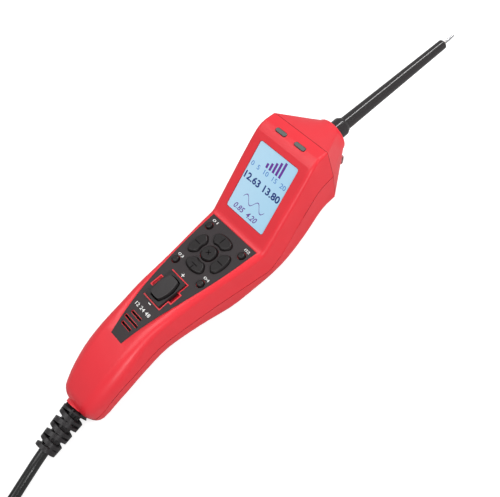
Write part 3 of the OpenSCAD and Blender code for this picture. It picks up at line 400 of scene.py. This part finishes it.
def backlit(name):  # display face, a little paler towards its upper left
    f = Finish(name, Roughness=glow["rough"], Coat_Weight=glow["coat"])
    y = f.node("ShaderNodeSeparateXYZ", {}, {0: f.place}, 1)
    pale = (*[c + (1 - c) * glow["paler"] for c in glow["ink"][:3]], 1.0)
    tone = f.mix(y.between(*glow["fadeOver"]), glow["ink"], pale)
    grain = f.mix(f.noise(glow["grain"]), tone, shaded(glow["ink"], glow["dark"]))
    f.feed("Base Color", grain)
    f.feed("Emission Color", grain)
    f.shader.inputs["Emission Strength"].default_value = glow["shine"]
    f.bump(f.noise(glow["wave"]), glow["waveDeep"])
    return f.material


displayBlue = backlit("displayBlue")
print("finishes mixed")

# A node with a seen surface gets a smoothed copy, an inner one a finish. Switch and keys come further down
dressing = {
    "upper_shell": {"finish": redShell, "angle": 32, "slot": "red_plastic"},
    "lower_shell": {"finish": redShell, "angle": 32, "slot": "red_plastic"},
    "nose_cap": {"finish": redShell, "angle": 32, "slot": "red_plastic"},
    "keypad_overlay": {"finish": filmBlack, "angle": 20, "slot": "keypad_rubber"},
    "probe_collar": {"finish": rodPlastic, "angle": 35, "bevel": 0.3, "slot": "probe_plastic"},
    "probe_sheath": {"finish": rodPlastic, "angle": 35, "bevel": 0.2, "slot": "probe_plastic"},
    "probe_tip": {"finish": tipSteel, "angle": 35, "slot": "steel"},
    "strain_relief": {"finish": bootRubber, "angle": 30, "slot": "cord_rubber"},
    "screen_window": {"finish": displayBlue, "angle": 30, "slot": "clear_plastic"},
    "indicator_lens_left": {"finish": lensGrey, "angle": 50, "bevel": 0.5, "slot": "smoked_lens"},
    "indicator_lens_right": {"finish": lensGrey, "angle": 50, "bevel": 0.5, "slot": "smoked_lens"},
    "lamp_lens_left": {"finish": lensClearPaintedRed, "angle": 40, "slot": "clear_plastic"},
    "lamp_lens_right": {"finish": lensClearPaintedRed, "angle": 40, "slot": "clear_plastic"},
    "cord_connector": {"finish": plugPlastic, "angle": 30, "bevel": 0.8, "slot": "cord_rubber"},
    "cord_tie": {"finish": tieNylon, "angle": 30, "bevel": 0.3, "slot": "cord_rubber"},
    "case_screws": {"finish": screwSteel, "angle": 30, "bevel": 0.15, "slot": "steel"},
}
inside = {"probe_socket": brassTurned, "rocker_contacts": brassTurned, "board_screws": screwSteel,
          "lcd_module": framePlastic, "display_board": boardGreen, "main_board": boardGreen,
          "power_relay": relayCase, "key_switches": framePlastic, "speaker": speakerPaper,
          "indicator_leds": ledCream, "lamp_leds": ledCream, "inner_wires": wireRed}
cleaning = {"doubles": 0.000002, "flat": 0.6, "bevelFrom": 35}  # m, degrees, degrees
# Faces that get painted shade, and lens faces that get a painted reflection: where they lie in the keypad
# frame, and how far up they look
seam = {"facesUp": 0.8, "outside": 10, "noseFrom": 111.45, "noseTo": 111.97}
grille = {"from": -33, "to": -19.5, "half": 7.6, "deep": -7, "facesUp": 0.6}
lensTop = {"facesUp": 0.985}


def inSeam(at, way):  # the step under the upper shell's edge, which gets painted shade
    return way.z > seam["facesUp"] and abs(at.y) > seam["outside"]


def inNoseSeam(at, way):  # the groove where the nose cap meets the shells, which gets painted shade
    return seam["noseFrom"] < at.x < seam["noseTo"]


def inGrille(at, way):  # side walls of the speaker's slots, which get painted shade
    near = grille["from"] < at.x < grille["to"] and abs(at.y) < grille["half"]
    return near and grille["deep"] < at.z < 0 and abs(way.z) < grille["facesUp"]


def onLensTop(at, way):  # not the rounded rim; these faces get a painted reflection
    return way.z > lensTop["facesUp"]


paintedLightAndShade = {"lower_shell": (seamPaintedShade, inSeam), "nose_cap": (seamPaintedShade, inNoseSeam),
          "upper_shell": (slotPaintedShade, inGrille), "indicator_lens_left": (lensTopPaintedReflection, onLensTop),
          "indicator_lens_right": (lensTopPaintedReflection, onLensTop)}


def paintLightAndShade(piece, finish, chosen):  # painted shade inside grooves and slots, painted reflection on lens tops, which makes them paler than their rim
    piece.data.materials.append(finish)
    for face in piece.data.polygons:
        if chosen(toKeypad @ face.center, (toKeypad.to_3x3() @ face.normal).normalized()):
            face.material_index = 1


def copyOf(name):  # the node's mesh as an object of its own
    calm()
    copy = nodes[name].copy()
    copy.data = nodes[name].data.copy()
    copy.parent = None
    for key in list(copy.keys()):
        del copy[key]
    bpy.context.scene.collection.objects.link(copy)
    return copy


def standIn(piece, node, finish, angle):  # smooths a piece and puts it in its node's place
    pick(piece)
    bpy.ops.object.shade_smooth_by_angle(angle=math.radians(angle))
    addModifier(piece, "WEIGHTED_NORMAL", keep_sharp=True, weight=60)
    keep(piece, node + "_surface", finish, bodyOf[node])
    if node in paintedLightAndShade:
        paintLightAndShade(piece, *paintedLightAndShade[node])
    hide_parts(node)
    return piece


def dress(name, settings):
    copy = pick(copyOf(name))
    bpy.ops.object.mode_set(mode="EDIT")
    bpy.ops.mesh.select_all(action="SELECT")
    bpy.ops.mesh.remove_doubles(threshold=cleaning["doubles"])
    bpy.ops.mesh.dissolve_limited(angle_limit=math.radians(cleaning["flat"]))
    bpy.ops.object.mode_set(mode="OBJECT")
    if "bevel" in settings:
        addModifier(copy, "BEVEL", width=settings["bevel"] * mm, segments=3, limit_method="ANGLE",
                    angle_limit=math.radians(cleaning["bevelFrom"]), use_clamp_overlap=True,
                    miter_outer="MITER_ARC")
    return standIn(copy, name, settings["finish"], settings["angle"])


dressed = {name: dress(name, settings) for name, settings in dressing.items()}
for name, finish in inside.items():
    nodes[name].data.materials.clear()
    nodes[name].data.materials.append(finish)
print("nodes dressed:", len(dressed), "and inside:", len(inside))

# Switch: both long sides of the rocker and of its well are bowed. Blocks are long, wide, low, high, and
# bowed shapes long, half wide, bulge of the sides, bulge of the ends
switch = {"frame": (20.3, 14.0, -3.0, 1.5), "flange": (23.0, 16.7, -4.0, -2.8),
          "block": (19.6, 13.4, -14.0, -2.9), "well": (15.9, 3.95, 2.1, 0.45), "wellFloor": -12.4,
          "wellTop": 6.0, "rocker": (14.7, 3.5, 1.6, 0.35), "top": 3.3, "foot": -2.6, "dip": 0.25,
          "pinRadius": 1.0, "pinLong": 12.0, "pinAt": -1.5, "gridLong": 24, "gridWide": 12, "bevelFrom": 40,
          "housingBevel": 0.3, "rockerBevel": 0.35, "smooth": 35}


def block(name, long, wide, low, high):
    calm()
    bpy.ops.mesh.primitive_cube_add(size=1)
    piece = bpy.context.object
    piece.name = name
    piece.scale = (long, wide, high - low)
    piece.location.z = (low + high) / 2
    return settle(piece)


def bowed(name, shape, low, high, dip=0.0):  # prism whose sides and ends bulge
    long, half, sideBulge, endBulge = shape
    calm()
    bpy.ops.mesh.primitive_grid_add(x_subdivisions=switch["gridLong"], y_subdivisions=switch["gridWide"],
                                    size=2)
    piece = bpy.context.object
    piece.name = name
    bpy.ops.object.mode_set(mode="EDIT")
    bpy.ops.mesh.select_all(action="SELECT")
    pullUp(1)
    closeUp()
    for v in piece.data.vertices:
        x, y, z = v.co
        z = high - dip * (1 - x * x) if z > 0.5 else low
        v.co = (x * (long / 2 + endBulge * (1 - y * y)), y * (half + sideBulge * (1 - x * x)), z)
    return piece


def finishSwitch(piece, node, finish, bevel):
    addModifier(piece, "BEVEL", width=bevel, segments=3, limit_method="ANGLE",
                angle_limit=math.radians(switch["bevelFrom"]), use_clamp_overlap=True)
    settle(piece, keypadFrame)
    standIn(piece, node, finish, switch["smooth"])


housing = block("switch_housing_surface", *switch["frame"])
withModifier(housing, block("flange", *switch["flange"]), "UNION")
withModifier(housing, block("block", *switch["block"]), "UNION")
withModifier(housing, bowed("well", switch["well"], switch["wellFloor"], switch["wellTop"]), "DIFFERENCE")
rocker = bowed("switch_rocker_surface", switch["rocker"], switch["foot"], switch["top"], switch["dip"])
calm()
bpy.ops.mesh.primitive_cylinder_add(radius=switch["pinRadius"], depth=switch["pinLong"], vertices=32,
                                    location=(0, 0, switch["pinAt"]), rotation=(math.pi / 2, 0, 0))
withModifier(rocker, settle(bpy.context.object), "UNION")
finishSwitch(housing, "switch_housing", framePlastic, switch["housingBevel"])
finishSwitch(rocker, "switch_rocker", rockerPlastic, switch["rockerBevel"])
print("switch built")

# Keys: caps with sloping sides and a soft top edge stand on the lowered body of each key. A step says how far
# the edge goes in, and how far up
keyCaps = {"middle": 32.5, "innerR": 6.7, "outerR": 14.6, "spread": 36.2, "corner": 3.0, "centreR": 5.2,
           "smallR": 2.3, "turns": {"front_key": 0, "left_key": 90, "rear_key": 180, "right_key": 270},
           "small": {"small_key_front_left": (44.8, 15.4), "small_key_front_right": (44.8, -15.4),
                     "small_key_rear_left": (16.4, 12.1), "small_key_rear_right": (16.4, -12.1)},
           "foot": -0.45, "overlap": 0.01, "shoulder": 0.35, "bodyTopOver": 1, "smooth": 55,
           "steps": [(0.34, 0.55), (0.18, 0.3), (0.2, 0.22), (0.24, 0.13), (0.26, 0.05)],
           "smallSteps": [(0.14, 0.5), (0.14, 0.36), (0.2, 0.2), (0.3, 0.14), (0.4, 0.05)],
           "edgeGap": 0.13, "edgeOut": 1.25, "edgeTop": -0.02, "edgeDeep": 0.3, "cutTop": 1.0, "cutDeep": 2.0}
planSteps = {"corner": 6, "round": 48, "length": 0.8}
ringMiddle = (keyCaps["innerR"] + keyCaps["outerR"]) / 2


def boxPlan(half, reach, corner):  # rounded rectangle
    box = []
    for sx, sy, start in ((1, 1, 0), (-1, 1, 90), (-1, -1, 180), (1, -1, 270)):
        for k in range(planSteps["corner"] + 1):
            a = math.radians(start + 90 * k / planSteps["corner"])
            box.append((sx * (half - corner) + corner * math.cos(a),
                        sy * (reach - corner) + corner * math.sin(a)))
    return box


def sectorPlan(grow=0.0):  # a direction key: a rounded rectangle bent round the middle of the ring
    half = (keyCaps["outerR"] - keyCaps["innerR"]) / 2 + grow
    reach = math.radians(keyCaps["spread"]) * ringMiddle + grow
    box, plan = boxPlan(half, reach, keyCaps["corner"] + grow), []
    for (ax, ay), (bx, by) in zip(box, box[1:] + box[:1]):
        count = max(1, round(math.hypot(bx - ax, by - ay) / planSteps["length"]))
        plan += [(ax + (bx - ax) * k / count, ay + (by - ay) * k / count) for k in range(count)]
    return [((ringMiddle + x) * math.cos(y / ringMiddle), (ringMiddle + x) * math.sin(y / ringMiddle))
            for x, y in plan]


def roundPlan(radius):
    turns = [math.tau * k / planSteps["round"] for k in range(planSteps["round"])]
    return [(radius * math.cos(a), radius * math.sin(a)) for a in turns]


def keyCap(name, plan, steps, place):
    cap = planFace(plan, keyCaps["foot"] - keyCaps["overlap"])
    pullUp(keyCaps["shoulder"] - keyCaps["foot"] + keyCaps["overlap"])
    for inward, up in steps:
        bpy.ops.mesh.inset(thickness=inward, depth=up)
    closeUp()
    settle(cap, keypadFrame @ place)
    stem = copyOf(name)
    for v in stem.data.vertices:
        at = toKeypad @ v.co
        if at.z > keyCaps["bodyTopOver"]:  # only the key's top lies so high
            v.co = atKeypad(at.x, at.y, keyCaps["foot"])
    stem.data.update()
    stem.data.materials.clear()
    whole = joined(name + "_surface", [cap, stem])
    return standIn(whole, name, keyRubber, keyCaps["smooth"])


def thickPlate(name, plan, top, deep):
    piece = planFace(plan, top - deep)
    piece.name = name
    pullUp(deep)
    closeUp()
    piece.data.update()
    return piece


def filmEdge(key, place):  # film close round a direction key, which hides the shell in the gap
    edge = thickPlate(key + "_edge", sectorPlan(keyCaps["edgeOut"]), keyCaps["edgeTop"], keyCaps["edgeDeep"])
    hole = thickPlate("hole", sectorPlan(keyCaps["edgeGap"]), keyCaps["cutTop"], keyCaps["cutDeep"])
    withModifier(edge, hole, "DIFFERENCE")
    settle(edge, keypadFrame @ place)
    return keep(edge, key + "_edge", filmBlack)


ringAt = Matrix.Translation((keyCaps["middle"], 0, 0))
caps = [keyCap("centre_key", roundPlan(keyCaps["centreR"]), keyCaps["steps"], ringAt)]
for name, turn in keyCaps["turns"].items():
    at = ringAt @ Matrix.Rotation(math.radians(turn), 4, "Z")
    caps.append(keyCap(name, sectorPlan(), keyCaps["steps"], at))
    filmEdge(name, at)
for name, (x, y) in keyCaps["small"].items():
    at = Matrix.Translation((x, y, 0))
    caps.append(keyCap(name, roundPlan(keyCaps["smallR"]), keyCaps["smallSteps"], at))
print("keys capped:", len(caps))

supplyLead.data.materials.append(leadJacket)

# Print: a plain meter picture on the display, numbers and signs on the keypad, lines on the keys, and a line
# of painted shade round the display
printing = {"letterThick": 0.012, "stripThick": 0.024, "lineThick": 0.02, "fontShare": 1.4, "curveSteps": 3}
lengthwise, crosswise = 0.0, -90.0  # turns on a surface, text reads crosswise


def setOn(surface, x, y, z=0.0, turn=crosswise):
    return surface @ Matrix.Translation((x, y, z)) @ Matrix.Rotation(math.radians(turn), 4, "Z")


def printed(name, body, height, width, surface, x, y, z, finish, bold=0.0, slant=0.0):
    calm()
    bpy.ops.object.text_add()
    piece = bpy.context.object
    piece.data.body = body
    piece.data.size = printing["fontShare"] * height
    piece.data.offset = bold
    piece.data.extrude = printing["letterThick"]
    piece.data.shear = slant
    piece.data.resolution_u = printing["curveSteps"]
    bpy.ops.object.convert(target="MESH")
    piece = bpy.context.object
    xs = [v.co.x for v in piece.data.vertices]
    ys = [v.co.y for v in piece.data.vertices]
    centred = Matrix.Translation((-(min(xs) + max(xs)) / 2, -(min(ys) + max(ys)) / 2, 0))
    piece.data.transform(Matrix.Diagonal((width / (max(xs) - min(xs)), 1, 1, 1)) @ centred)
    settle(piece, setOn(surface, x, y, z))
    return keep(piece, name, finish)


def strip(name, length, width, surface, x, y, z, finish, turn=crosswise, rides="handle"):
    calm()
    bpy.ops.mesh.primitive_cube_add(size=1)
    piece = bpy.context.object
    piece.scale = (length, width, printing["stripThick"])
    settle(piece, setOn(surface, x, y, z, turn))
    return keep(piece, name, finish, rides)


def ringLine(name, halfLong, halfWide, corner, width, place, finish):  # flat line round an opening
    piece = planFace(boxPlan(halfLong, halfWide, corner))
    bpy.ops.mesh.inset(thickness=width, depth=0)
    bpy.ops.mesh.delete(type="ONLY_FACE")
    bpy.ops.object.mode_set(mode="OBJECT")
    addModifier(piece, "SOLIDIFY", thickness=printing["lineThick"], offset=0)
    settle(piece, place)
    return keep(piece, name, finish)


display = {"top": 52.5, "side": 16.5, "face": -0.29, "middle": 30.2, "edge": (22.3, 16.5, 1.6, 0.28),
           "bars": [(12.6, 3.0), (15.4, 4.6), (18.2, 6.4), (21.0, 8.2), (23.8, 9.8)], "barFoot": 11.4,
           "barWidth": 1.7}
displayText = {
    "displayScale": {"body": "0  5  10  15  20", "height": 2.9, "width": 30.0, "down": 14.0, "across": 16.5,
                     "finish": inkBlue, "bold": 0.03, "slant": 0.0},
    "displayReading": {"body": "12.63 13.80", "height": 4.3, "width": 30.6, "down": 21.8, "across": 16.5,
                       "finish": inkNavy, "bold": 0.17, "slant": 0.0},
    "displayLower": {"body": "0.85  4.20", "height": 3.6, "width": 20.0, "down": 40.6, "across": 15.0,
                     "finish": inkPurple, "bold": 0.05, "slant": 0.35},
}
trace = {"down": 33.2, "from": 8.0, "long": 19.0, "swing": 2.3, "waves": 2, "width": 0.55, "steps": 60}


def onDisplay(down, across):  # mm from the display's upper left corner
    return display["top"] - down, display["side"] - across


# Painted shade: a dark line round the display window, standing in for its recess's shadow
ringLine("displayEdgePaintedShade", *display["edge"],
         screenFrame @ Matrix.Translation((display["middle"], 0, display["face"])), recessPaintedShade)
bars = []
for i, (across, tall) in enumerate(display["bars"]):
    x, y = onDisplay(display["barFoot"] - tall / 2, across)
    bars.append(strip(f"displayBar{i}", display["barWidth"], tall, screenFrame, x, y, display["face"],
                      inkPurple))
joined("displayBars", bars)
for name, text in displayText.items():
    x, y = onDisplay(text["down"], text["across"])
    printed(name, text["body"], text["height"], text["width"], screenFrame, x, y, display["face"],
            text["finish"], text["bold"], text["slant"])
calm()
bpy.ops.mesh.primitive_grid_add(x_subdivisions=trace["steps"], y_subdivisions=1, size=1)
displayTrace = bpy.context.object
for v in displayTrace.data.vertices:
    u = v.co.x + 0.5
    wave = trace["swing"] * math.sin(math.tau * trace["waves"] * u)
    v.co = (u * trace["long"], v.co.y * trace["width"] + wave, 0)
addModifier(displayTrace, "SOLIDIFY", thickness=printing["lineThick"], offset=0)
settle(displayTrace, setOn(screenFrame, *onDisplay(trace["down"], trace["from"]), display["face"]))
keep(displayTrace, "displayTrace", inkPurple)

keypadPrint = {"labels": {"01": (49.3, 15.0), "02": (49.1, -15.4), "03": (20.4, 12.0), "04": (20.8, -12.4)},
               "labelHeight": 1.7, "labelWidth": 4.4, "lift": 0.015,
               "signs": [(12.7, 0.0, crosswise), (12.7, 0.0, lengthwise), (-12.4, -0.2, crosswise)],
               "signSize": 2.4, "signWidth": 0.5}
rangeLabel = {"body": "12 24 48", "height": 2.2, "width": 13.6, "x": -17.3, "y": 0.2, "lift": 0.02,
              "bold": 0.02}


def tailDrop(x):  # height of the film against the keypad's plane, from which it falls away behind the switch
    return math.sqrt(handle["tailArc"] ** 2 - min(x, 0) ** 2) - handle["tailArc"]


joined("keyLabels", [printed("label" + body, body, keypadPrint["labelHeight"], keypadPrint["labelWidth"],
                             keypadFrame, x, y, keypadPrint["lift"], whitePrint)
                     for body, (x, y) in keypadPrint["labels"].items()])
joined("switchSigns", [strip(f"sign{i}", keypadPrint["signSize"], keypadPrint["signWidth"], keypadFrame, x, y,
                             tailDrop(x) + keypadPrint["lift"], whitePrint, turn)
                       for i, (x, y, turn) in enumerate(keypadPrint["signs"])])
tailLean = (keypadFrame @ Matrix.Translation((rangeLabel["x"], 0, tailDrop(rangeLabel["x"])))
            @ Matrix.Rotation(math.asin(rangeLabel["x"] / handle["tailArc"]), 4, "Y"))
printed("rangeLabel", rangeLabel["body"], rangeLabel["height"], rangeLabel["width"], tailLean,
        0, rangeLabel["y"], rangeLabel["lift"], whitePrint, rangeLabel["bold"])

# Each line on a key: x, y, length, turn
keyLines = {"width": 0.42, "lift": 0.012,
            "lines": {"front_key": [(43.2, 0, 4.6, 0)], "rear_key": [(21.8, 0, 4.6, 90), (19.6, 0, 3.0, 0)],
                      "left_key": [(32.5, 10.7, 4.6, 90)], "right_key": [(32.5, -10.7, 4.6, 90)],
                      "centre_key": [(32.5, 0, 3.4, 45), (32.5, 0, 3.4, -45)]}}
lineTop = keyCaps["shoulder"] + sum(up for inward, up in keyCaps["steps"]) + keyLines["lift"]
for key, lines in keyLines["lines"].items():
    joined(key + "_mark", [strip(f"{key}_mark{i}", long, keyLines["width"], keypadFrame, x, y, lineTop,
                                 keyMark, turn, key) for i, (x, y, long, turn) in enumerate(lines)])
print("print laid on")

# Table and light
studio = {"floorSize": 6.0, "floorWhite": 0.5, "floorPaler": 1.02, "floorPatch": 40.0, "floorGlow": 0.74,
          "sky": 0.54, "aim": (0, 0, 0.03)}
lamps = {"overhead": {"place": (-0.25, 0.35, 1.5), "size": (1.1, 1.1), "power": 10.8, "lights": True,
                      "shines": True},
         "right": {"place": (0.7, -1.05, 0.8), "size": (0.7, 0.7), "power": 14.5, "lights": True,
                   "shines": False},
         "rodStreak": {"place": (1.3, 0.1, 1.5), "size": (0.2, 1.3), "power": 17.0, "lights": False,
                       "shines": True},
         "tailStreak": {"place": (-0.7, -1.0, 0.78), "size": (0.5, 0.12), "power": 4.5, "lights": False,
                        "shines": True}}
calm()
bpy.ops.mesh.primitive_plane_add(size=studio["floorSize"])
tableTop = bpy.context.object
tableTop.name = "tableTop"
paper = (studio["floorWhite"],) * 3 + (1,)
f = Finish("tablePaper", Roughness=0.9, Specular_IOR_Level=0.1)
f.feed("Base Color", f.mix(f.noise(studio["floorPatch"]), paper, shaded(paper, studio["floorPaler"])))
rays = f.tree.nodes.new("ShaderNodeLightPath")
seen = Wire(f, rays.outputs["Is Camera Ray"]) + Wire(f, rays.outputs["Is Transmission Ray"])
f.shader.inputs["Emission Color"].default_value = (1, 1, 1, 1)
f.feed("Emission Strength", seen * studio["floorGlow"])
tableTop.data.materials.append(f.material)

world = bpy.data.worlds.new("studioWorld")
bpy.context.scene.world = world
world.use_nodes = True
sky = world.node_tree.nodes["Background"]
skyRays = world.node_tree.nodes.new("ShaderNodeLightPath")
skyMix = world.node_tree.nodes.new("ShaderNodeMapRange")
world.node_tree.links.new(skyRays.outputs["Is Camera Ray"], skyMix.inputs["Value"])
skyMix.inputs["To Min"].default_value = studio["sky"]
skyMix.inputs["To Max"].default_value = 1.0
world.node_tree.links.new(skyMix.outputs[0], sky.inputs["Strength"])
sky.inputs["Color"].default_value = (1, 1, 1, 1)
for name, settings in lamps.items():
    calm()
    bpy.ops.object.light_add(type="AREA", location=settings["place"])
    lamp = bpy.context.object
    lamp.name = name
    lamp.data.shape = "RECTANGLE"
    lamp.data.size, lamp.data.size_y = settings["size"]
    lamp.data.energy = settings["power"]
    lamp.visible_diffuse = settings["lights"]
    lamp.visible_glossy = settings["shines"]
    aim = Vector(studio["aim"]) - Vector(settings["place"])
    lamp.rotation_euler = aim.to_track_quat("-Z", "Y").to_euler()
bpy.context.scene.view_settings.view_transform = "Standard"
print("studio lit")
